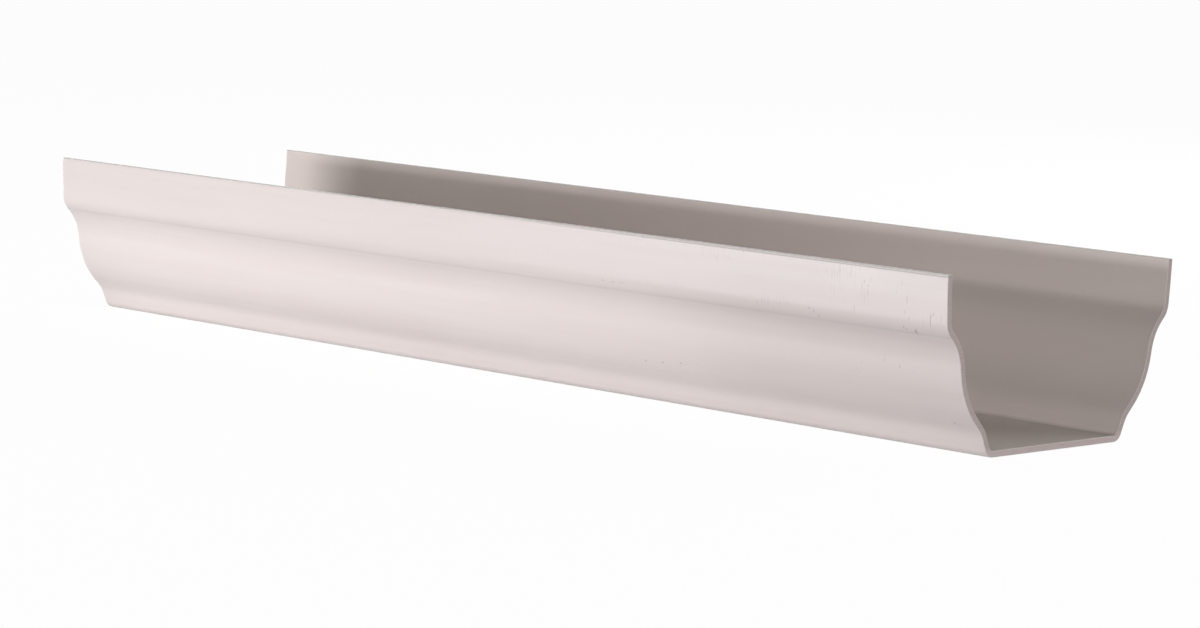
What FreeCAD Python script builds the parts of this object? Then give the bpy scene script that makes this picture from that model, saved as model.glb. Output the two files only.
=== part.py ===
"""Section of symmetric ogee rainwater gutter, extruded in PVC-U and sawn square at both ends.

Frame: +X runs along the gutter, +Y across it, +Z up out of the open trough.  The origin is on the
underside of the sole, midway along the length and midway across the width.  Millimetres.
"""
import FreeCAD, Part
import math
import os

os.makedirs("parts", exist_ok=True)

# Overall sizes.
LENGTH = 490.0
RIM_WIDTH = 130.0
DEPTH = 66.0
WALL = 2.4

# Sole: the flat underside, up to the rounded bottom edge.
SOLE_CORNER_WIDTH = 76.4
SOLE_CORNER_RADIUS = 4.5

# Foot: the steep strip that climbs from the sole, up to the lower cove.
FOOT_ANGLE = 23.5
FOOT_TOP_HEIGHT = 8.6
LOWER_COVE_RADIUS = 12.0

# Belly: the long convex swell of the ogee, between its lower and upper tangents.
BELLY_LOWER_ANGLE = 45.0
BELLY_CORNER_HEIGHT = 20.0
BELLY_RADIUS = 32.0

# Waist: the near-upright strip that ends in the upper cove.
WAIST_ANGLE = 9.5
WAIST_TOP_HEIGHT = 38.4
UPPER_COVE_RADIUS = 17.0

# Fascia: the plain band under the rim, with its lower edge.
FASCIA_ANGLE = 1.5
FASCIA_BOTTOM_HEIGHT = 46.4
FASCIA_EDGE_RADIUS = 11.0

# The rim is left plain by the die, with both its edges eased.
RIM_EDGE_RADIUS = 0.7


def lean(start, height, angle):
    """Return the point at a height, on a line from start that leans outwards from the vertical."""
    y, z = start
    return (y + (height - z) * math.tan(math.radians(angle)), height)


def outer_corners():
    """Return the sharp corners of one outer side from the sole up, each as (point, radius)."""
    sole_corner = (SOLE_CORNER_WIDTH / 2, 0.0)
    foot_top = lean(sole_corner, FOOT_TOP_HEIGHT, FOOT_ANGLE)
    belly_corner = lean(foot_top, BELLY_CORNER_HEIGHT, BELLY_LOWER_ANGLE)
    waist_top = lean(belly_corner, WAIST_TOP_HEIGHT, WAIST_ANGLE)
    fascia_bottom = lean((RIM_WIDTH / 2, DEPTH), FASCIA_BOTTOM_HEIGHT, FASCIA_ANGLE)
    return [
        (sole_corner, SOLE_CORNER_RADIUS),
        (foot_top, LOWER_COVE_RADIUS),
        (belly_corner, BELLY_RADIUS),
        (waist_top, UPPER_COVE_RADIUS),
        (fascia_bottom, FASCIA_EDGE_RADIUS),
    ]


def unit(start, end):
    """Return the direction from start to end, as a vector of length one."""
    direction = FreeCAD.Vector(0, end[0] - start[0], end[1] - start[1])
    return direction.normalize()


def turns_inward(before, corner, after):
    """Say whether the side, followed upwards, turns towards the trough at this corner."""
    first = unit(before, corner)
    second = unit(corner, after)
    return first.y * second.z - first.z * second.y > 0


def inner_corners(outer, rim):
    """Return the corners of the inner side, one wall thickness inside the outer ones.

    Each corner slides along its mitre.  A swelling corner loses the wall from its radius inside,
    and a cove gains it, so the wall keeps one thickness all the way round.
    """
    points = [(0.0, 0.0)] + [point for point, radius in outer] + [rim]
    inner = []
    for i, (corner, radius) in enumerate(outer, start=1):
        first = unit(points[i - 1], corner)
        second = unit(corner, points[i + 1])
        first_inward = FreeCAD.Vector(0, -first.z, first.y)
        second_inward = FreeCAD.Vector(0, -second.z, second.y)
        mitre = (first_inward + second_inward) * (WALL / (1 + first.dot(second)))
        point = (corner[0] + mitre.y, corner[1] + mitre.z)
        if turns_inward(points[i - 1], corner, points[i + 1]):
            inner.append((point, radius - WALL))
        else:
            inner.append((point, radius + WALL))
    return inner


def mirrored(corners):
    """Return the same corners on the other side of the gutter, in the opposite order."""
    return [((-point[0], point[1]), radius) for point, radius in reversed(corners)]


def section_corners():
    """Return the corners of the whole wall section, anticlockwise from the outer +Y side."""
    outer = outer_corners()
    rim_outer = (RIM_WIDTH / 2, DEPTH)
    inner = inner_corners(outer, rim_outer)
    fascia_wall = WALL / math.cos(math.radians(FASCIA_ANGLE))
    rim_inner = (rim_outer[0] - fascia_wall, DEPTH)
    rim = [(rim_outer, RIM_EDGE_RADIUS), (rim_inner, RIM_EDGE_RADIUS)]
    side = outer + rim + list(reversed(inner))
    return side + mirrored(side)


def rounded_face(corners):
    """Return the flat face inside a closed outline whose corners are rounded by tangent arcs."""
    rounded = []
    for i, (corner, radius) in enumerate(corners):
        before = corners[i - 1][0]
        after = corners[(i + 1) % len(corners)][0]
        back = unit(corner, before)
        ahead = unit(corner, after)
        half_angle = back.getAngle(ahead) / 2
        vertex = FreeCAD.Vector(0, corner[0], corner[1])
        reach = radius / math.tan(half_angle)
        bisector = (back + ahead).normalize()
        middle = vertex + bisector * (radius / math.sin(half_angle) - radius)
        rounded.append((vertex + back * reach, middle, vertex + ahead * reach))
    edges = []
    for i, (start, middle, end) in enumerate(rounded):
        edges.append(Part.Arc(start, middle, end).toShape())
        edges.append(Part.makeLine(end, rounded[(i + 1) % len(rounded)][0]))
    return Part.Face(Part.Wire(edges))


def gutter_channel():
    """Return the gutter, its section drawn straight out from one sawn end to the other."""
    section = rounded_face(section_corners())
    section.translate(FreeCAD.Vector(-LENGTH / 2, 0, 0))
    return section.extrude(FreeCAD.Vector(LENGTH, 0, 0))


gutter_channel().exportStep("parts/gutter_channel.step")
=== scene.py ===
"""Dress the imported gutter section: its extruded skin, its sawn ends, the studio and the camera.

Metres throughout, in the part's own frame: +X along the gutter, +Y across it, +Z up, and the
floor at z = 0.
"""

import logging
import math
from dataclasses import dataclass, field
from enum import Enum

import bmesh
import bpy
import numpy as np
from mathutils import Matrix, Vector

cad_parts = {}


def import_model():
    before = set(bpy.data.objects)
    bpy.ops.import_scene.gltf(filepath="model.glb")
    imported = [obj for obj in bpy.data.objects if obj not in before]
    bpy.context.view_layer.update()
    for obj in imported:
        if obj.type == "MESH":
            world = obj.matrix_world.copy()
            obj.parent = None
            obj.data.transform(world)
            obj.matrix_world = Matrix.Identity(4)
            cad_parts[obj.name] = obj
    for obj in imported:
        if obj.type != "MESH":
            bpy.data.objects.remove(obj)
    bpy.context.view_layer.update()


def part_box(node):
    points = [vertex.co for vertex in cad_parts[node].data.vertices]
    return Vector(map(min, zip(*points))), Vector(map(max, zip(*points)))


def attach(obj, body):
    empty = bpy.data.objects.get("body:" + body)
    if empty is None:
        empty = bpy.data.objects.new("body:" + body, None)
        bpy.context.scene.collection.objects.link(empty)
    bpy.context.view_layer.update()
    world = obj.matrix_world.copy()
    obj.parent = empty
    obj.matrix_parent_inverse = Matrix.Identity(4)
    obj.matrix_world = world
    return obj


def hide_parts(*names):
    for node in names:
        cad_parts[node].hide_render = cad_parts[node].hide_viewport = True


MM = 0.001
NODE = "gutter_channel"
WHITE = "FFFFFF"

# In the UV map the inner skin's girth starts here, well past where the outer skin's ends.
INNER_START = 0.5

Colour = tuple[float, float, float, float]
Tree = bpy.types.NodeTree
Socket = bpy.types.NodeSocket

log = logging.getLogger("gutter_section")


class Skin(Enum):
    """Which finish a face of the gutter wears: the material index in its mesh."""

    EXTRUDED = 0
    SAWN = 1


class Join(Enum):
    """How several shares become one: the operation between each two of them."""

    ALL = "MULTIPLY"
    STRONGEST = "MAXIMUM"


def linear(hex_colour: str) -> Colour:
    """Turn an sRGB hex colour into linear light.

    A channel up to 0.04045 is divided by 12.92; above that, 0.055 is added, the sum is divided
    by 1.055 and raised to the power 2.4.

    Args:
        hex_colour: Six hex digits, such as "E8E0DC".

    Returns:
        Red, green, blue and an alpha of one.
    """
    srgb = np.array([int(hex_colour[i : i + 2], 16) for i in (0, 2, 4)]) / 255.0
    light = np.where(srgb <= 0.04045, srgb / 12.92, ((srgb + 0.055) / 1.055) ** 2.4)
    return (float(light[0]), float(light[1]), float(light[2]), 1.0)


def add_node(
    tree: Tree, kind: str, settings: dict | None = None, links: dict | None = None
) -> bpy.types.Node:
    """Add one node with its settings and its incoming links.

    Args:
        tree: The node tree that gets it.
        kind: The node's type name.
        settings: Values by property name, or by input name or number.
        links: Output sockets by input name or number.

    Returns:
        The new node.
    """
    node = tree.nodes.new(kind)
    for name, value in (settings or {}).items():
        if isinstance(name, str) and hasattr(node, name):
            setattr(node, name, value)
        else:
            node.inputs[name].default_value = value
    for name, socket in (links or {}).items():
        tree.links.new(socket, node.inputs[name])
    return node


def new_material(name: str) -> tuple[bpy.types.Material, Tree]:
    """Start a material with an empty node tree.

    Args:
        name: The material's name.

    Returns:
        The material and its node tree.
    """
    material = bpy.data.materials.new(name)
    material.use_nodes = True
    material.node_tree.nodes.clear()
    return material, material.node_tree


def smooth_step(low: float, high: float, at_low: float = 0.0, at_high: float = 1.0) -> dict:
    """Give the settings with which a Map Range node turns one value smoothly into another.

    The result goes the share 3 t^2 - 2 t^3 of its way, where t grows evenly from 0 to 1, and it
    is held on both sides.

    Args:
        low: Where t is 0.
        high: Where t is 1.
        at_low: The result there and before.
        at_high: The result there and after.

    Returns:
        The settings.
    """
    return {
        "interpolation_type": "SMOOTHSTEP",
        "From Min": low,
        "From Max": high,
        "To Min": at_low,
        "To Max": at_high,
    }


def join_shares(tree: Tree, how: Join, shares: list[Socket]) -> Socket:
    """Make one share of several, pair by pair.

    Args:
        tree: The material's node tree.
        how: Their product, or the strongest of them.
        shares: The shares.

    Returns:
        The joined share.
    """
    joined = shares[0]
    for share in shares[1:]:
        pair = {0: joined, 1: share}
        joined = add_node(tree, "ShaderNodeMath", {"operation": how.value}, pair).outputs[0]
    return joined


def lay_colours(tree: Tree, base: str, coats: list[tuple[Socket, str]]) -> Socket:
    """Lay colours over a base one after another, each by its own share.

    Args:
        tree: The material's node tree.
        base: The lowest colour, in hex.
        coats: Each coat's share, from nought to one, and its colour in hex.

    Returns:
        The blended colour.
    """
    fixed, linked = {"A": linear(base)}, {}
    for share, colour in coats:
        coat = add_node(
            tree,
            "ShaderNodeMix",
            {"data_type": "RGBA", "B": linear(colour), **fixed},
            {"Factor": share, **linked},
        )
        fixed, linked = {}, {"A": coat.outputs["Result"]}
    return linked["A"]


@dataclass(frozen=True)
class OgeeSection:
    """The wall of the gutter as a path up one side, mirrored for the other.

    The path is the outer skin: straight runs joined by tangent arcs.  The angles are those of
    the runs from upright, in degrees.  The die line, the sag and the panel's rows are placed
    by their distance below the rim.
    """

    rim_half: float
    depth: float
    wall: float = 2.4 * MM
    sole_corner: float = 38.2 * MM
    sole_radius: float = 4.5 * MM
    foot_angle: float = 23.5
    foot_top: float = 8.6 * MM
    lower_cove_radius: float = 12.0 * MM
    belly_angle: float = 45.0
    belly_corner: float = 20.0 * MM
    belly_radius: float = 32.0 * MM
    waist_angle: float = 9.5
    waist_top: float = 38.4 * MM
    upper_cove_radius: float = 17.0 * MM
    fascia_angle: float = 1.5
    fascia_bottom: float = 46.4 * MM
    fascia_radius: float = 7.5 * MM
    rim_radius: float = 0.45 * MM
    die_line_drop: float = 0.80 * MM
    die_line_spread: float = 0.168 * MM
    die_line_reach: float = 0.448 * MM
    die_line_depth: float = 0.07 * MM
    sag_depth: float = 0.35 * MM
    sag_top: float = 3.0 * MM
    sag_bottom: float = 17.0 * MM
    sag_end: float = 32.0 * MM
    panel_top: float = 2.0 * MM
    panel_bottom: float = 16.2 * MM
    panel_rows: int = 12
    edge_rows: int = 13
    arc_rows: int = 22

    def corners(self) -> tuple[np.ndarray, np.ndarray]:
        """Work out the sharp corners of one side, from the middle of the sole up to the rim.

        Each run goes out by its rise times the tangent of its angle from upright.

        Returns:
            The corners as (n, 2) of y and z, and the radius at each inner one.
        """
        tangent = np.tan(np.radians([self.foot_angle, self.belly_angle, self.waist_angle]))
        heights = np.array([0.0, self.foot_top, self.belly_corner, self.waist_top])
        widths = self.sole_corner + np.concatenate(([0.0], np.cumsum(np.diff(heights) * tangent)))
        taper = math.tan(math.radians(self.fascia_angle)) * (self.depth - self.fascia_bottom)
        side = np.stack([widths, heights], axis=1)
        first = [[0.0, 0.0]]
        last = [[self.rim_half - taper, self.fascia_bottom], [self.rim_half, self.depth]]
        radii = np.array([
            self.sole_radius,
            self.lower_cove_radius,
            self.belly_radius,
            self.upper_cove_radius,
            self.fascia_radius,
        ])
        return np.concatenate([first, side, last]), radii

    def half_path(self) -> tuple[np.ndarray, np.ndarray, np.ndarray]:
        """Trace one side of the outer skin, from the sole up to the rim.

        Each corner becomes an arc: its two tangent points lie radius / tan(half angle) from
        the corner, and the arc turns its first spoke into its last one at an even rate.

        Returns:
            Points (n, 2), outward normals (n, 2), and each point's drop below the rim.
        """
        sharp, radii = self.corners()
        corner = sharp[1:-1]
        back = sharp[:-2] - corner
        ahead = sharp[2:] - corner
        back /= np.linalg.norm(back, axis=1, keepdims=True)
        ahead /= np.linalg.norm(ahead, axis=1, keepdims=True)
        half = np.arccos(np.sum(back * ahead, axis=1)) / 2
        reach = (radii / np.tan(half))[:, None]
        middle = back + ahead
        middle /= np.linalg.norm(middle, axis=1, keepdims=True)
        centre = corner + middle * (radii / np.sin(half))[:, None]
        spoke_in = (corner + back * reach - centre)[:, None, :]
        spoke_out = (corner + ahead * reach - centre)[:, None, :]
        turn = (np.pi - 2 * half)[:, None, None]
        share = np.linspace(0.0, 1.0, self.arc_rows)[None, :, None]
        spoke = np.sin((1 - share) * turn) * spoke_in + np.sin(share * turn) * spoke_out
        spoke /= np.sin(turn)
        cross = ahead[:, 0] * back[:, 1] - ahead[:, 1] * back[:, 0]
        outward = np.where(cross > 0, 1.0, -1.0)[:, None, None]
        arcs = (centre[:, None, :] + spoke).reshape(-1, 2)
        arc_normals = (outward * spoke / radii[:, None, None]).reshape(-1, 2)
        rise = ahead[-1]
        drops = self.fascia_drops()
        fascia = sharp[-1] - rise * drops[:, None]
        fascia_normal = np.array([rise[1], -rise[0]])
        points = np.concatenate([arcs, fascia])
        normals = np.concatenate([arc_normals, np.tile(fascia_normal, (drops.size, 1))])
        drop = np.linalg.norm(points - sharp[-1], axis=1)
        return points, normals, drop

    def fascia_drops(self) -> np.ndarray:
        """Give the rows of the fascia: even down the panel and over the die line, then closing
        up round the edge, where each drop is radius x (1 - sine of an evenly growing angle).

        Returns:
            Distances below the rim, largest first.
        """
        panel = np.linspace(self.panel_bottom, self.panel_top, self.panel_rows)
        groove = self.die_line_drop + self.die_line_reach * np.linspace(1, -1, self.edge_rows)
        edge = self.rim_radius * (1 - np.sin(np.linspace(0, np.pi / 2, self.edge_rows)))
        return np.unique(np.concatenate([panel, groove, edge]))[::-1]

    def whole_path(self) -> tuple[np.ndarray, np.ndarray, np.ndarray]:
        """Join both sides into one path from the -Y rim, under the sole, to the +Y rim.

        Returns:
            Points (n, 2), outward normals (n, 2), and each point's drop below its rim.
        """
        points, normals, drop = self.half_path()
        flip = np.array([-1.0, 1.0])
        return (
            np.concatenate([points[::-1] * flip, points]),
            np.concatenate([normals[::-1] * flip, normals]),
            np.concatenate([drop[::-1], drop]),
        )

    def half_girth(self) -> float:
        """Measure the outer skin from the rim to the middle of the sole.

        Returns:
            Metres along the path.
        """
        points, _, _ = self.half_path()
        steps = np.linalg.norm(np.diff(points, axis=0), axis=1)
        return float(steps.sum() + points[0, 0])

    def die_line(self, drop: np.ndarray) -> np.ndarray:
        """Say how deep the line under the rim is: depth x e^-((drop - middle) / spread)^2.

        Args:
            drop: Distances below the rim.

        Returns:
            The inset of the outer skin at each distance.
        """
        return self.die_line_depth * np.exp(
            -(((drop - self.die_line_drop) / self.die_line_spread) ** 2)
        )

    def sag(self, drop: np.ndarray) -> np.ndarray:
        """Say how far the wall has drawn in at the foot of the fascia as it cooled.

        A parabola in over the lower panel, and a smooth step back out over the cove.

        Args:
            drop: Distances below the rim.

        Returns:
            The inset of both skins at each distance.
        """
        going = np.clip((drop - self.sag_top) / (self.sag_bottom - self.sag_top), 0.0, 1.0)
        coming = np.clip((drop - self.sag_bottom) / (self.sag_end - self.sag_bottom), 0.0, 1.0)
        return self.sag_depth * (going**2 - coming**2 * (3 - 2 * coming))


def edge_inset(distance: np.ndarray, radius: float) -> np.ndarray:
    """Say how far a rounded edge has drawn in from the flat, at a distance from its end.

    A quarter circle: radius - sqrt(radius^2 - (radius - distance)^2).

    Args:
        distance: Distances from the end of the surface.
        radius: The edge's radius.

    Returns:
        The inset at each distance, none past one radius.
    """
    short = np.clip(radius - distance, 0.0, radius)
    return radius - np.sqrt(radius**2 - short**2)


@dataclass(frozen=True)
class Grain:
    """An uneven pattern whose grains are drawn out along the gutter or round it.

    It is a smooth noise, and it shows where the noise passes from one value to another.
    """

    length: float
    width: float
    detail: float
    low: float = 0.0
    high: float = 1.0
    harshness: float = 0.55

    def noise(self, tree: Tree, place: Socket) -> Socket:
        """Add the bare noise, with the place divided by the grain's length and width.

        Args:
            tree: The material's node tree.
            place: Metres along and round the gutter.

        Returns:
            The noise, about 0.5 in the middle.
        """
        spread = add_node(
            tree,
            "ShaderNodeMapping",
            {"Scale": (1 / self.length, 1 / self.width, 1.0)},
            {"Vector": place},
        )
        grains = add_node(
            tree,
            "ShaderNodeTexNoise",
            {
                "noise_dimensions": "2D",
                "Scale": 1.0,
                "Detail": self.detail,
                "Roughness": self.harshness,
            },
            {"Vector": spread.outputs[0]},
        )
        return grains.outputs[0]

    def share(self, tree: Tree, place: Socket, least: float = 0.0, most: float = 1.0) -> Socket:
        """Add the pattern as a share.

        Args:
            tree: The material's node tree.
            place: Metres along and round the gutter.
            least: The share below the noise's lower value.
            most: The share above its upper one.

        Returns:
            The share.
        """
        noise = self.noise(tree, place)
        steps = smooth_step(self.low, self.high, least, most)
        return add_node(tree, "ShaderNodeMapRange", steps, {"Value": noise}).outputs[0]


@dataclass(frozen=True)
class Band:
    """A value that holds near a middle line and turns smoothly into another away from it."""

    middle: float
    core: float
    edge: float
    within: float
    beyond: float = 0.0

    def value(self, tree: Tree, measure: Socket) -> Socket:
        """Add the band, by the distance |measure - middle|.

        Args:
            tree: The material's node tree.
            measure: Metres in the direction that the band lies across.

        Returns:
            The value: the first up to the core, the second past the edge.
        """
        off = add_node(
            tree, "ShaderNodeMath", {"operation": "SUBTRACT", 1: self.middle}, {0: measure}
        )
        away = add_node(tree, "ShaderNodeMath", {"operation": "ABSOLUTE"}, {0: off.outputs[0]})
        steps = smooth_step(self.core, self.edge, self.within, self.beyond)
        node = add_node(tree, "ShaderNodeMapRange", steps, {"Value": away.outputs[0]})
        return node.outputs[0]


@dataclass(frozen=True)
class Mark:
    """One small stroke or speck left on the front face: an ellipse with ragged edges.

    The first four are in mm: its place along and round the skin, and half its size each way.
    """

    along: float
    girth: float
    half_along: float
    half_girth: float
    strength: float
    full_to: float = 0.9
    gone_by: float = 1.9

    def share(self, tree: Tree, place: Socket, ragged: Socket) -> Socket:
        """Draw the mark.

        The place is moved to the mark's middle and divided by its half sizes, which makes the
        ellipse a circle; the mark fades by the distance from there plus a fine noise.

        Args:
            tree: The material's node tree.
            place: Metres along and round the gutter.
            ragged: The noise that roughens its outline.

        Returns:
            The mark's strength at each place.
        """
        half = np.array([self.half_along, self.half_girth]) * MM
        shift = -np.array([self.along, self.girth]) * MM / half
        local = add_node(
            tree,
            "ShaderNodeMapping",
            {"Scale": (*(1 / half), 0.0), "Location": (*shift, 0.0)},
            {"Vector": place},
        )
        far = add_node(
            tree, "ShaderNodeVectorMath", {"operation": "LENGTH"}, {0: local.outputs[0]}
        )
        rough = add_node(
            tree, "ShaderNodeMath", {"operation": "ADD"}, {0: far.outputs["Value"], 1: ragged}
        )
        steps = smooth_step(self.full_to, self.gone_by, self.strength, 0.0)
        node = add_node(tree, "ShaderNodeMapRange", steps, {"Value": rough.outputs[0]})
        return node.outputs[0]


@dataclass(frozen=True)
class ExtrudedPvc:
    """Rigid PVC-U as it leaves the die: satin, faintly drawn lengthways, a little handled."""

    half_length: float
    half_girth: float
    colour: str = "ECE2E0"
    # Painted shade: the inner skin is tinted a little warmer and darker than the outer one.
    inner_shade_colour: str = "ECE0DB"
    # Painted light: the inside of the sole is coloured paler.
    sole_light_colour: str = "F4EAE2"
    streak_colour: str = "EADFDD"
    # Soil for the strokes and specks, and painted shade for the die line and the crease.
    soil_and_shade_colour: str = "8F8580"
    # Painted highlight along the outer skin's sawn edges.
    edge_highlight_colour: str = "F8F4F1"
    roughness: float = 0.42
    roughness_swing: float = 0.03
    ior: float = 1.53
    # Streaks of tone about 140 mm long, and patches of more and less gloss half as long.
    streaks: Grain = Grain(142.9 * MM, 6.25 * MM, 3.0, 0.35, 0.70)
    satin: Grain = Grain(71.43 * MM, 16.67 * MM, 4.0, 0.30, 0.70)
    # The real drawn lines are finer; these are as coarse as they need to be to show.
    drawn_lines: Grain = Grain(333.3 * MM, 0.9 * MM, 2.0)
    line_depth: float = 0.004 * MM
    # Upright strokes under a millimetre wide and a few long, in patches of some centimetres.
    strokes: Grain = Grain(0.6667 * MM, 6.667 * MM, 1.0, 0.62, 0.76)
    stroke_patches: Grain = Grain(38.46 * MM, 16.67 * MM, 1.0, 0.46, 0.62)
    stroke_share: float = 0.16
    fascia: Band = Band(0.0, 19.0 * MM, 24.7 * MM, 1.0)
    handled_from: float = 0.0
    handled_to: float = 220.5 * MM
    handled_least: float = 0.1
    # The outlines of the single marks are ragged by less than half a millimetre.
    ragged: Grain = Grain(0.3846 * MM, 0.3846 * MM, 1.0)
    rim_gloss: float = 0.3
    rim_gloss_core: float = 0.1 * MM
    rim_gloss_edge: float = 0.6 * MM
    # Painted shade along the die line under the front rim, strongest towards +X.
    die_line: Band = Band(0.70 * MM, 0.0, 0.50 * MM, 0.50)
    die_shade_from: float = -20.0 * MM
    die_shade_to: float = 120.0 * MM
    die_shade_least: float = 0.05
    # Painted shade along the crease of the upper cove, 23 mm round from the front rim.
    crease_painted_shade: Band = Band(23.3 * MM, 0.0, 1.1 * MM, 0.10)
    # Where the painted light on the sole is full, and where it has gone, from the sole's middle.
    sole_light_core: float = 30.0 * MM
    sole_light_edge: float = 37.0 * MM
    # The painted highlight along the sawn edge comes and goes every few millimetres round the
    # section.
    edge_highlight_grain: Grain = Grain(1000.0 * MM, 4.167 * MM, 2.0, 0.38, 0.60)
    edge_highlight_least: float = 0.3
    edge_highlight_share: float = 0.8
    edge_highlight_reach: float = 0.45 * MM
    edge_highlight_full: float = 0.1 * MM
    marks: tuple[Mark, ...] = (
        # Strokes down the fascia near the +X end, and the nicks at its foot.
        Mark(226.9, 10.4, 0.17, 1.6, 0.42),
        Mark(227.9, 16.9, 0.18, 0.9, 0.30),
        Mark(237.5, 16.6, 0.20, 2.6, 0.50),
        Mark(237.7, 15.3, 0.24, 0.9, 0.45),
        Mark(238.8, 14.3, 0.25, 0.5, 0.40),
        Mark(226.0, 15.0, 0.25, 0.8, 0.28),
        Mark(224.7, 20.9, 0.32, 0.7, 0.40),
        Mark(225.8, 21.5, 0.35, 0.4, 0.34),
        Mark(229.7, 22.2, 0.42, 1.1, 0.62),
        Mark(230.6, 20.8, 0.30, 0.5, 0.25),
        Mark(224.4, 4.7, 0.20, 1.4, 0.20),
        Mark(222.1, 8.2, 0.25, 0.7, 0.16),
        # Strokes and nicks farther along it.
        Mark(202.7, 16.0, 0.22, 1.3, 0.26),
        Mark(207.3, 6.0, 0.35, 0.7, 0.22),
        Mark(209.2, 7.4, 0.45, 0.4, 0.22),
        Mark(210.1, 5.4, 0.25, 0.7, 0.18),
        Mark(181.4, 18.4, 0.40, 0.5, 0.34),
        Mark(183.4, 19.4, 0.30, 0.9, 0.26),
        Mark(185.0, 21.7, 0.35, 0.6, 0.28),
        # A row of fine upright strokes below the rim.
        Mark(192.1, 5.0, 0.16, 2.0, 0.22),
        Mark(193.3, 4.4, 0.14, 2.2, 0.20),
        Mark(194.6, 4.9, 0.16, 1.7, 0.18),
        Mark(195.9, 4.6, 0.14, 2.0, 0.22),
        Mark(200.6, 4.8, 0.16, 1.3, 0.16),
        # Short drags lengthways at the fascia's foot.
        Mark(78.5, 19.3, 0.9, 0.22, 0.30),
        Mark(83.6, 19.5, 1.0, 0.22, 0.34),
        Mark(88.4, 19.1, 0.8, 0.20, 0.26),
        Mark(156.5, 19.2, 0.30, 0.5, 0.16),
        Mark(151.0, 19.2, 0.40, 0.4, 0.16),
        # Specks on the belly: three plain ones with fainter ones round them.
        Mark(89.0, 53.3, 0.55, 0.5, 0.34),
        Mark(98.3, 52.7, 0.55, 0.5, 0.34),
        Mark(107.9, 51.7, 0.55, 0.5, 0.34),
        Mark(87.4, 56.1, 0.35, 0.35, 0.20),
        Mark(99.4, 54.4, 0.40, 0.35, 0.20),
        Mark(101.3, 53.5, 0.35, 0.30, 0.16),
        Mark(107.2, 53.3, 0.30, 0.35, 0.18),
        Mark(110.6, 51.8, 0.35, 0.30, 0.16),
        # Faint specks over the upper cove and the belly's top.
        Mark(199.6, 39.2, 0.30, 0.5, 0.16),
        Mark(196.7, 42.0, 0.40, 0.4, 0.14),
        Mark(194.0, 43.0, 0.35, 0.4, 0.12),
        Mark(198.5, 42.2, 0.35, 0.4, 0.14),
        Mark(210.3, 36.8, 0.30, 0.7, 0.18),
        Mark(210.8, 34.9, 0.25, 0.5, 0.12),
        Mark(217.2, 38.6, 0.32, 0.9, 0.22),
        Mark(223.2, 40.1, 0.35, 0.4, 0.14),
        Mark(180.9, 38.1, 0.30, 0.5, 0.12),
        # A drag above the foot at the +X end, and two nicks in the rim.
        Mark(235.2, 59.9, 0.9, 0.35, 0.42),
        Mark(237.0, 60.6, 1.2, 0.22, 0.20),
        Mark(99.6, 0.9, 0.22, 0.5, 0.30),
        Mark(149.6, 1.2, 0.22, 0.5, 0.30),
    )

    def material(self) -> bpy.types.Material:
        """Build the material.

        Returns:
            The material.
        """
        # Extrusion leaves a low satin gloss: fine lines drawn along the length by the die and
        # broad faint streaks of tone.  Handling adds short strokes and specks.  Painted shade
        # darkens the die line under the front rim, the crease of the upper cove and the inner
        # skin; painted light makes the inside of the sole paler, and a painted highlight lies
        # along the sawn edges.
        material, tree = new_material("extruded PVC-U, satin")
        place = add_node(tree, "ShaderNodeUVMap", {"uv_map": "UVMap"}).outputs[0]
        parts = add_node(tree, "ShaderNodeSeparateXYZ", links={0: place}).outputs
        along, girth = parts["X"], parts["Y"]
        inside = self.inner_skin(tree, girth)
        coats = [
            (self.streaks.share(tree, place), self.streak_colour),
            # Painted shade tint over the inner skin.
            (inside, self.inner_shade_colour),
            # Painted light along the inside of the sole.
            (self.sole_painted_light(tree, girth), self.sole_light_colour),
            (self.faint_strokes(tree, place, along, girth), self.soil_and_shade_colour),
            # Painted shade in the die line under the front rim.
            (self.die_line_painted_shade(tree, along, girth), self.soil_and_shade_colour),
            # Painted shade in the crease of the upper cove.
            (self.crease_painted_shade.value(tree, girth), self.soil_and_shade_colour),
            (self.specks(tree, place), self.soil_and_shade_colour),
            # Painted highlight along the sawn edges of the outer skin.
            (self.edge_painted_highlight(tree, place, along, inside), self.edge_highlight_colour),
        ]
        bump = add_node(
            tree,
            "ShaderNodeBump",
            {"Strength": 1.0, "Distance": self.line_depth},
            {"Height": self.drawn_lines.noise(tree, place)},
        )
        shader = add_node(
            tree,
            "ShaderNodeBsdfPrincipled",
            {"IOR": self.ior},
            {
                "Base Color": lay_colours(tree, self.colour, coats),
                "Roughness": self.gloss(tree, place, girth, inside),
                "Normal": bump.outputs[0],
            },
        )
        add_node(tree, "ShaderNodeOutputMaterial", links={"Surface": shader.outputs[0]})
        return material

    def inner_skin(self, tree: Tree, girth: Socket) -> Socket:
        """Tell the inner skin from the outer one, half-way between the girths where the outer
        one ends and the inner one starts.

        Args:
            tree: The material's node tree.
            girth: Metres round the gutter, as the UV map has them.

        Returns:
            One on the inner skin, and none on the outer one.
        """
        limit = (2 * self.half_girth + INNER_START) / 2
        past = {"operation": "GREATER_THAN", 1: limit}
        return add_node(tree, "ShaderNodeMath", past, {0: girth}).outputs[0]

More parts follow.
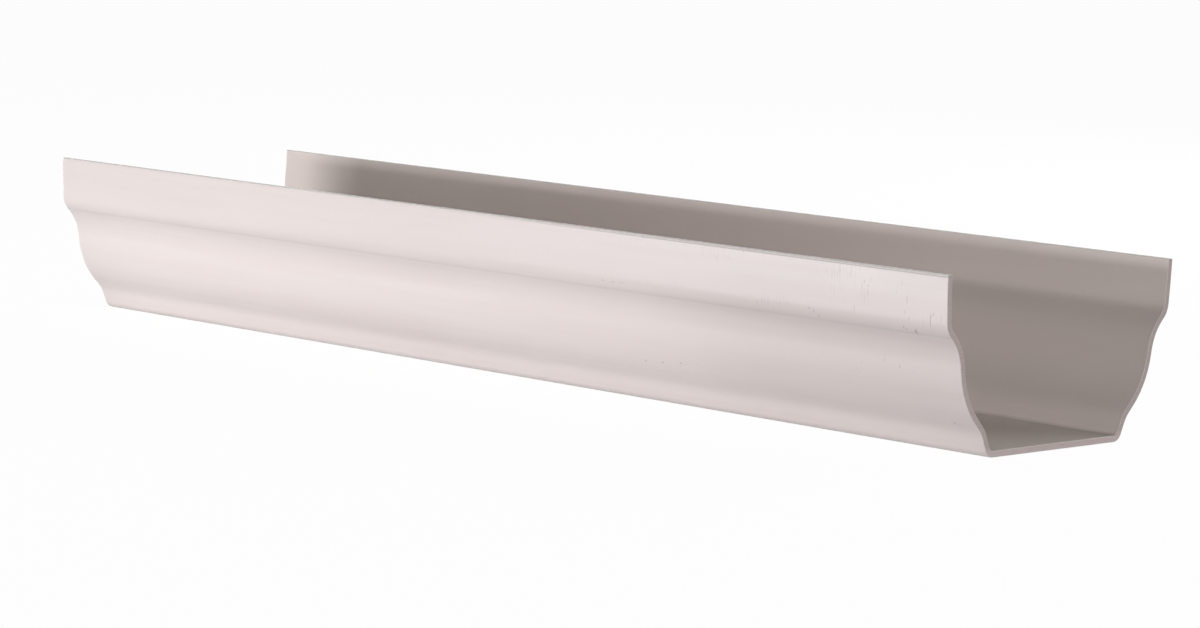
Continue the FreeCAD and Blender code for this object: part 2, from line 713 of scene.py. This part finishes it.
    def gloss(self, tree: Tree, place: Socket, girth: Socket, inside: Socket) -> Socket:
        """Add the roughness: satin in uneven patches, and smoother where the die rounds a rim.

        The distance from a rim is the half girth less the distance from the middle of the
        sole, so that one band about the sole's middle serves both rims.

        Args:
            tree: The material's node tree.
            place: Metres along and round the gutter.
            girth: Metres round it alone.
            inside: One on the inner skin.

        Returns:
            The roughness.
        """
        low = self.roughness - self.roughness_swing
        high = self.roughness + self.roughness_swing
        own_girth = add_node(
            tree,
            "ShaderNodeMath",
            {"operation": "MULTIPLY_ADD", 1: -INNER_START},
            {0: inside, 2: girth},
        )
        polish = Band(
            self.half_girth,
            self.half_girth - self.rim_gloss_edge,
            self.half_girth - self.rim_gloss_core,
            1.0,
            self.rim_gloss,
        )
        satin = self.satin.share(tree, place, low, high)
        return join_shares(tree, Join.ALL, [satin, polish.value(tree, own_girth.outputs[0])])

    def faint_strokes(self, tree: Tree, place: Socket, along: Socket, girth: Socket) -> Socket:
        """Add faint short strokes down the front fascia, gathered in patches towards +X.

        Args:
            tree: The material's node tree.
            place: Metres along and round the gutter.
            along: Metres along it alone.
            girth: Metres round it alone, from the front rim.

        Returns:
            The strokes' share, none over most of the skin.
        """
        steps = smooth_step(self.handled_from, self.handled_to, self.handled_least, 1.0)
        handled = add_node(tree, "ShaderNodeMapRange", steps, {"Value": along}).outputs[0]
        strokes = self.strokes.share(tree, place, 0.0, self.stroke_share)
        patches = self.stroke_patches.share(tree, place)
        fascia = self.fascia.value(tree, girth)
        return join_shares(tree, Join.ALL, [strokes, patches, fascia, handled])

    def sole_painted_light(self, tree: Tree, girth: Socket) -> Socket:
        """Add the painted light that makes the inside of the sole paler.

        Args:
            tree: The material's node tree.
            girth: Metres round the gutter.

        Returns:
            The painted light's share, one over the sole.
        """
        middle = INNER_START + self.half_girth
        return Band(middle, self.sole_light_core, self.sole_light_edge, 1.0).value(tree, girth)

    def die_line_painted_shade(self, tree: Tree, along: Socket, girth: Socket) -> Socket:
        """Add the painted shade: a thin dark line along the die line under the front rim.

        Args:
            tree: The material's node tree.
            along: Metres along the gutter.
            girth: Metres round it from the front rim.

        Returns:
            The painted shade's share, fading away towards -X.
        """
        steps = smooth_step(self.die_shade_from, self.die_shade_to, self.die_shade_least, 1.0)
        fade_along = add_node(tree, "ShaderNodeMapRange", steps, {"Value": along}).outputs[0]
        return join_shares(tree, Join.ALL, [self.die_line.value(tree, girth), fade_along])

    def specks(self, tree: Tree, place: Socket) -> Socket:
        """Add the single marks.

        Args:
            tree: The material's node tree.
            place: Metres along and round the gutter.

        Returns:
            The strongest mark at each place.
        """
        ragged = self.ragged.noise(tree, place)
        shares = [mark.share(tree, place, ragged) for mark in self.marks]
        return join_shares(tree, Join.STRONGEST, shares)

    def edge_painted_highlight(self, tree: Tree, place: Socket, along: Socket, inside: Socket) -> Socket:
        """Add the painted highlight: a paler edge on the outer skin at both sawn ends.

        Args:
            tree: The material's node tree.
            place: Metres along and round the gutter.
            along: Metres along it alone, from its middle.
            inside: One on the inner skin, which has no such edge.

        Returns:
            The edge's share.
        """
        start = self.half_length - self.edge_highlight_reach
        full = self.half_length - self.edge_highlight_full
        ends = Band(0.0, start, full, 0.0, self.edge_highlight_share).value(tree, along)
        uneven = self.edge_highlight_grain.share(tree, place, self.edge_highlight_least, 1.0)
        outer = add_node(tree, "ShaderNodeMath", {"operation": "SUBTRACT", 0: 1.0}, {1: inside})
        return join_shares(tree, Join.ALL, [ends, uneven, outer.outputs[0]])


@dataclass(frozen=True)
class SawnPvc:
    """The same PVC-U where a fine-toothed saw cut it: matt, with shallow arcs across the wall."""

    # Painted shade: the sawn face is coloured darker than the extruded skin.
    colour: str = "CDBDBA"
    # Painted shade in the grooves of the saw arcs.
    groove_shade_colour: str = "C1B1AE"
    # The sawn end is paler below 2 mm, fading out by 4 mm.
    pale_bottom_colour: str = "DFCFCD"
    pale_bottom: Band = Band(0.0, 2.0 * MM, 4.0 * MM, 0.8)
    roughness: float = 0.62
    ior: float = 1.53
    blade_middle: tuple[float, float] = (-30.0 * MM, 190.0 * MM)
    # A fine-toothed blade leaves its arcs about half a millimetre apart.
    tooth_pitch: float = 0.55 * MM
    tooth_depth: float = 0.008 * MM
    tooth_detail: float = 3.0
    tooth_harshness: float = 0.6
    # Where the arcs' value turns into painted shade in the grooves, and how strong it gets.
    groove_low: float = 0.35
    groove_high: float = 0.75
    groove_shade_share: float = 0.8

    def material(self) -> bpy.types.Material:
        """Build the material.

        Returns:
            The material.
        """
        # A circular saw leaves a matt face of fine arcs, all about the blade's middle.  The face
        # is coloured darker than the skin, and darker still in the arcs' grooves, as painted
        # shade;
        # the end of the sole is paler over its lowest few millimetres.
        material, tree = new_material("sawn PVC-U, matt")
        place = add_node(tree, "ShaderNodeUVMap", {"uv_map": "UVMap"}).outputs[0]
        height = add_node(tree, "ShaderNodeSeparateXYZ", links={0: place}).outputs["Y"]
        from_middle = add_node(
            tree,
            "ShaderNodeVectorMath",
            {"operation": "DISTANCE", 1: (*self.blade_middle, 0.0)},
            {0: place},
        )
        arcs = add_node(
            tree,
            "ShaderNodeTexNoise",
            {
                "noise_dimensions": "1D",
                "Scale": 1 / self.tooth_pitch,
                "Detail": self.tooth_detail,
                "Roughness": self.tooth_harshness,
            },
            {"W": from_middle.outputs["Value"]},
        ).outputs[0]
        steps = smooth_step(self.groove_low, self.groove_high, 0.0, self.groove_shade_share)
        groove_shade = add_node(tree, "ShaderNodeMapRange", steps, {"Value": arcs}).outputs[0]
        pale_bottom = self.pale_bottom.value(tree, height)
        coats = [(groove_shade, self.groove_shade_colour), (pale_bottom, self.pale_bottom_colour)]
        bump = add_node(
            tree,
            "ShaderNodeBump",
            {"Strength": 1.0, "Distance": self.tooth_depth},
            {"Height": arcs},
        )
        shader = add_node(
            tree,
            "ShaderNodeBsdfPrincipled",
            {"Roughness": self.roughness, "IOR": self.ior},
            {"Base Color": lay_colours(tree, self.colour, coats), "Normal": bump.outputs[0]},
        )
        add_node(tree, "ShaderNodeOutputMaterial", links={"Surface": shader.outputs[0]})
        return material


@dataclass
class GutterChannel:
    """The gutter itself: one extruded wall with a skin all round and two sawn ends."""

    low: np.ndarray
    high: np.ndarray
    section: OgeeSection = field(init=False)
    end_radius: float = 0.18 * MM
    end_rows: int = 5
    near_rows: tuple[float, ...] = (0.6 * MM, 1.5 * MM, 4.0 * MM)
    middle_rows: int = 49
    middle_margin: float = 0.02
    wall_rows: int = 6
    crease_degrees: float = 50.0
    weld_distance: float = 0.001 * MM

    def __post_init__(self) -> None:
        """Take the rim width and the depth from the CAD box."""
        self.section = OgeeSection(rim_half=float(self.high[1]), depth=float(self.high[2]))

    def stations(self) -> np.ndarray:
        """Give the places along the gutter where its section is drawn, closer at the ends.

        Round each end's edge they lie at radius x (1 - cosine of an evenly growing angle).

        Returns:
            Values of x from the lower end to the upper one.
        """
        angle = np.linspace(0, np.pi / 2, self.end_rows)
        end = np.concatenate([self.end_radius * (1 - np.cos(angle)), self.near_rows])
        margin = self.middle_margin
        share = np.linspace(margin, 1 - margin, self.middle_rows)
        middle = self.low[0] + share * (self.high[0] - self.low[0])
        return np.concatenate([self.low[0] + end, middle, self.high[0] - end[::-1]])

    def slab(self, x: np.ndarray, share: np.ndarray) -> tuple[np.ndarray, np.ndarray]:
        """Place the points of the wall by station along, place on the path, and depth through.

        A point is the path's own, moved inwards along its normal: by the rounding of the sawn
        end and of the rim, by the die line on the outer skin alone, by the sag, and by its
        share of the wall left between the two skins.  Its height stays above the floor and
        below the rim.

        Args:
            x: Stations along the gutter, (a,).
            share: Depths through the wall from 0 outside to 1 inside, (c,).

        Returns:
            Positions (a, b, c, 3), and the girth of each place on the path, (b,).
        """
        points, normals, drop = self.section.whole_path()
        steps = np.linalg.norm(np.diff(points, axis=0), axis=1)
        girth = np.concatenate([[0.0], np.cumsum(steps)])
        from_end = np.minimum(x - self.low[0], self.high[0] - x)
        sawn = edge_inset(from_end, self.end_radius)[:, None]
        rim = edge_inset(drop, self.section.rim_radius)[None, :]
        inner = (sawn + rim)[:, :, None]
        outer = inner + self.section.die_line(drop)[None, :, None]
        inset = outer + share[None, None, :] * (self.section.wall - outer - inner)
        inset = inset + self.section.sag(drop)[None, :, None]
        place = points[None, :, None, :] - normals[None, :, None, :] * inset[..., None]
        place[..., 1] = np.clip(place[..., 1], 0.0, self.section.depth)
        along = np.broadcast_to(x[:, None, None, None], place.shape[:3] + (1,))
        return np.concatenate([along, place], axis=-1), girth

    @staticmethod
    def grid_faces(rows: int, columns: int, offset: int, flip: bool) -> np.ndarray:
        """Join a grid of vertices by quads.

        Args:
            rows: Vertices along the first parameter.
            columns: Vertices along the second parameter.
            offset: Number of the grid's first vertex.
            flip: Whether the quads turn the other way.

        Returns:
            Vertex numbers, (n, 4).
        """
        number = offset + np.arange(rows * columns).reshape(rows, columns)
        quads = np.stack([number[:-1, :-1], number[1:, :-1], number[1:, 1:], number[:-1, 1:]], -1)
        quads = quads.reshape(-1, 4)
        return quads[:, ::-1] if flip else quads

    def surfaces(self) -> list[tuple[np.ndarray, np.ndarray, np.ndarray, bool, Skin]]:
        """List the six faces of the slab.

        As their UV the skins and the rims carry metres along and round the gutter, where the
        inner skin's girth begins at INNER_START, and the sawn ends carry y and z.

        Returns:
            For each its positions, its u and its v on a grid, whether its quads are turned
            over, and its finish.
        """
        x = self.stations()
        share = np.linspace(0.0, 1.0, self.wall_rows)
        solid, girth = self.slab(x, share)
        along, round_it = np.meshgrid(x, girth, indexing="ij")
        rim_along, through = np.meshgrid(x, share * self.section.wall, indexing="ij")
        outer, inner = solid[:, :, 0], solid[:, :, -1]
        front_rim, back_rim = solid[:, 0], solid[:, -1]
        low_end, high_end = solid[0], solid[-1]
        return [
            (outer, along, round_it, True, Skin.EXTRUDED),
            (inner, along, round_it + INNER_START, False, Skin.EXTRUDED),
            (front_rim, rim_along, girth[0] - through, False, Skin.EXTRUDED),
            (back_rim, rim_along, girth[-1] + through, True, Skin.EXTRUDED),
            (low_end, low_end[..., 1], low_end[..., 2], True, Skin.SAWN),
            (high_end, high_end[..., 1], high_end[..., 2], False, Skin.SAWN),
        ]

    def build(self) -> bpy.types.Object:
        """Make the mesh from the six faces of the slab, welded along their shared edges.

        Returns:
            The finished object, with its UV map in metres.
        """
        vertices, faces, uvs, skins = [], [], [], []
        offset = 0
        for place, u, v, flip, skin in self.surfaces():
            rows, columns = place.shape[:2]
            quads = self.grid_faces(rows, columns, offset, flip)
            vertices.append(place.reshape(-1, 3))
            faces.append(quads)
            uvs.append(np.stack([u.reshape(-1), v.reshape(-1)], 1))
            skins.append(np.full(len(quads), skin.value))
            offset += rows * columns
        quads = np.concatenate(faces)
        mesh = bpy.data.meshes.new("gutter_skin")
        mesh.from_pydata(np.concatenate(vertices), [], quads)
        mesh.update()
        layer = mesh.uv_layers.new(name="UVMap")
        layer.data.foreach_set("uv", np.concatenate(uvs)[quads.reshape(-1)].reshape(-1))
        mesh.polygons.foreach_set("material_index", np.concatenate(skins))
        mesh.polygons.foreach_set("use_smooth", np.ones(len(quads), dtype=bool))
        piece = bpy.data.objects.new("gutter_skin", mesh)
        bpy.context.scene.collection.objects.link(piece)
        self.weld(mesh)
        self.sharpen(mesh)
        return piece

    def weld(self, mesh: bpy.types.Mesh) -> None:
        """Merge the vertices that two faces of the slab share along an edge.

        Args:
            mesh: The mesh to close.
        """
        work = bmesh.new()
        work.from_mesh(mesh)
        bmesh.ops.remove_doubles(work, verts=work.verts, dist=self.weld_distance)
        work.to_mesh(mesh)
        work.free()

    def sharpen(self, mesh: bpy.types.Mesh) -> None:
        """Shade the mesh hard at its creases and where the two finishes meet.

        The finishes are numbered 0 and 1 and each edge has two faces, so the finishes meet
        where the sum of an edge's two numbers is 1.

        Args:
            mesh: The closed mesh, all of quads.
        """
        mesh.set_sharp_from_angle(angle=math.radians(self.crease_degrees))
        edge = np.empty(len(mesh.loops), dtype=np.int32)
        mesh.loops.foreach_get("edge_index", edge)
        finish = np.empty(len(mesh.polygons), dtype=np.int32)
        mesh.polygons.foreach_get("material_index", finish)
        total = np.bincount(edge, weights=np.repeat(finish, 4), minlength=len(mesh.edges))
        sharp = np.empty(len(mesh.edges), dtype=bool)
        mesh.edges.foreach_get("use_edge_sharp", sharp)
        mesh.edges.foreach_set("use_edge_sharp", sharp | (total == 1))

    def dress(self, piece: bpy.types.Object) -> None:
        """Give the skin and the sawn ends their finishes, in the order of Skin.

        Args:
            piece: The gutter's object.
        """
        skin = ExtrudedPvc(float(self.high[0]), self.section.half_girth())
        piece.data.materials.append(skin.material())
        piece.data.materials.append(SawnPvc().material())


@dataclass(frozen=True)
class Lamp:
    """One soft lamp: a lit panel that faces the middle of the gutter unless told otherwise."""

    name: str
    place: tuple[float, float, float]
    width: float
    height: float
    watts: float
    target: tuple[float, float, float] = (0.0, 0.0, 33.0 * MM)
    in_gloss: bool = True

    def build(self) -> bpy.types.Object:
        """Hang the lamp, which no camera ray sees.

        A lamp shines along its own -Z: it is tipped by the angle between its aim and straight
        down, and then turned about the upright towards the target.

        Returns:
            The lamp's object.
        """
        data = bpy.data.lights.new(self.name, "AREA")
        data.shape = "RECTANGLE"
        data.size = self.width
        data.size_y = self.height
        data.energy = self.watts
        lamp = bpy.data.objects.new(self.name, data)
        lamp.location = self.place
        aim = np.array(self.target) - np.array(self.place)
        lamp.rotation_euler = (
            math.acos(-aim[2] / float(np.linalg.norm(aim))),
            0.0,
            math.atan2(aim[1], aim[0]) - math.pi / 2,
        )
        lamp.visible_camera = False
        lamp.visible_glossy = self.in_gloss
        bpy.context.scene.collection.objects.link(lamp)
        return lamp


@dataclass(frozen=True)
class Studio:
    """The white floor, the white room past it and the lamps."""

    room_light: float = 0.0
    room_white: float = 1.0
    floor_size: float = 60.0
    floor_colour: str = "BCBCBC"
    floor_white: float = 1.06
    floor_mirrored: float = 1.0
    shadow_share: float = 0.08
    lamps: tuple[Lamp, ...] = (
        Lamp("low_key_front_left", (-0.476, -1.034, 0.015), 0.28, 0.03, 5.03),
        Lamp("middle_key_front_left", (-0.366, -1.067, 0.090), 0.28, 0.03, 2.22),
        Lamp("high_key_front_left", (-0.476, -1.034, 0.200), 0.28, 0.03, 1.00),
        Lamp("front_panel_right", (0.444, -1.221, 0.783), 0.70, 0.70, 1.16),
        Lamp("low_panel_right", (1.125, -0.650, 0.078), 0.40, 0.12, 1.70),
        Lamp("low_panel_far_right", (1.255, -0.336, 0.078), 0.40, 0.12, 2.95),
        Lamp("back_panel_right", (0.705, 1.221, 0.546), 0.70, 0.70, 4.09),
        Lamp("back_panel_middle", (0.0, 1.410, 0.546), 0.70, 0.70, 9.81),
        Lamp(
            name="floor_reflector_front",
            place=(-0.065, -0.0805, 0.0004),
            width=0.37,
            height=0.029,
            watts=0.0139,
            target=(-0.065, -0.0605, 1.0),
            in_gloss=False,
        ),
    )

    def build(self) -> None:
        """Fill the room, lay the floor and hang the lamps."""
        self.fill_room()
        self.lay_floor()
        for lamp in self.lamps:
            lamp.build()

    def fill_room(self) -> None:
        """Show the room plain white to the camera and in gloss, and leave the light to lamps."""
        world = bpy.data.worlds.new("studio_room")
        world.use_nodes = True
        tree = world.node_tree
        tree.nodes.clear()
        path = add_node(tree, "ShaderNodeLightPath").outputs
        dim, white = (
            add_node(tree, "ShaderNodeBackground", {"Color": linear(WHITE), "Strength": strength})
            for strength in (self.room_light, self.room_white)
        )
        gloss = add_node(
            tree,
            "ShaderNodeMixShader",
            links={0: path["Is Glossy Ray"], 1: dim.outputs[0], 2: white.outputs[0]},
        )
        surface = add_node(
            tree,
            "ShaderNodeMixShader",
            links={0: path["Is Camera Ray"], 1: gloss.outputs[0], 2: white.outputs[0]},
        )
        add_node(tree, "ShaderNodeOutputWorld", links={"Surface": surface.outputs[0]})
        bpy.context.scene.world = world

    def lay_floor(self) -> None:
        """Lay the floor: it bounces light as pale paper, but looks white, with a faint shadow."""
        corners = np.array([[-1, -1, 0], [1, -1, 0], [1, 1, 0], [-1, 1, 0]]) * self.floor_size / 2
        mesh = bpy.data.meshes.new("studio_floor")
        mesh.from_pydata(corners, [], [(0, 1, 2, 3)])
        floor = bpy.data.objects.new("studio_floor", mesh)
        bpy.context.scene.collection.objects.link(floor)
        # Paper scatters light evenly with no gloss.  To the camera it is nearly all plain
        # white, and the small rest is the lit paper, which carries the gutter's shadow.  The
        # white is set a little over one, because that rest is darker.
        material, tree = new_material("white paper backdrop")
        path = add_node(tree, "ShaderNodeLightPath").outputs
        paper = add_node(tree, "ShaderNodeBsdfDiffuse", {"Color": linear(self.floor_colour)})
        white, mirrored = (
            add_node(tree, "ShaderNodeEmission", {"Color": linear(WHITE), "Strength": strength})
            for strength in (self.floor_white, self.floor_mirrored)
        )
        share = add_node(
            tree,
            "ShaderNodeMath",
            {"operation": "MULTIPLY", 1: 1.0 - self.shadow_share},
            {0: path["Is Camera Ray"]},
        )
        seen = add_node(
            tree,
            "ShaderNodeMixShader",
            links={0: share.outputs[0], 1: paper.outputs[0], 2: white.outputs[0]},
        )
        surface = add_node(
            tree,
            "ShaderNodeMixShader",
            links={0: path["Is Glossy Ray"], 1: seen.outputs[0], 2: mirrored.outputs[0]},
        )
        add_node(tree, "ShaderNodeOutputMaterial", links={"Surface": surface.outputs[0]})
        mesh.materials.append(material)


@dataclass(frozen=True)
class Camera:
    """A long lens at the front right, a little above the gutter; its turn is in degrees."""

    place: tuple[float, float, float] = (1.110251, -1.132879, 0.20722)
    turn: tuple[float, float, float] = (83.347, -2.340, 44.271)
    lens: float = 119.805
    sensor: float = 36.0

    def build(self) -> None:
        """Set the camera up and make it the scene's own."""
        data = bpy.data.cameras.new("studio_camera")
        data.lens = self.lens
        data.sensor_width = self.sensor
        data.sensor_fit = "HORIZONTAL"
        camera = bpy.data.objects.new("studio_camera", data)
        camera.location = self.place
        camera.rotation_euler = tuple(math.radians(angle) for angle in self.turn)
        bpy.context.scene.collection.objects.link(camera)
        bpy.context.scene.camera = camera


def main() -> None:
    """Set up the camera, build and dress the gutter, and put the studio round it."""
    logging.basicConfig(level=logging.INFO, format="%(name)s: %(message)s")
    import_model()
    Camera().build()
    low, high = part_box(NODE)
    channel = GutterChannel(np.array(low), np.array(high))
    piece = channel.build()
    channel.dress(piece)
    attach(piece, "root")
    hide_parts(NODE)
    log.info("%s: %d faces", piece.name, len(piece.data.polygons))
    studio = Studio()
    studio.build()
    log.info("studio: a floor and %d lamps", len(studio.lamps))
    scene = bpy.context.scene
    scene.view_settings.view_transform = "Standard"


if __name__ == "__main__":
    main()
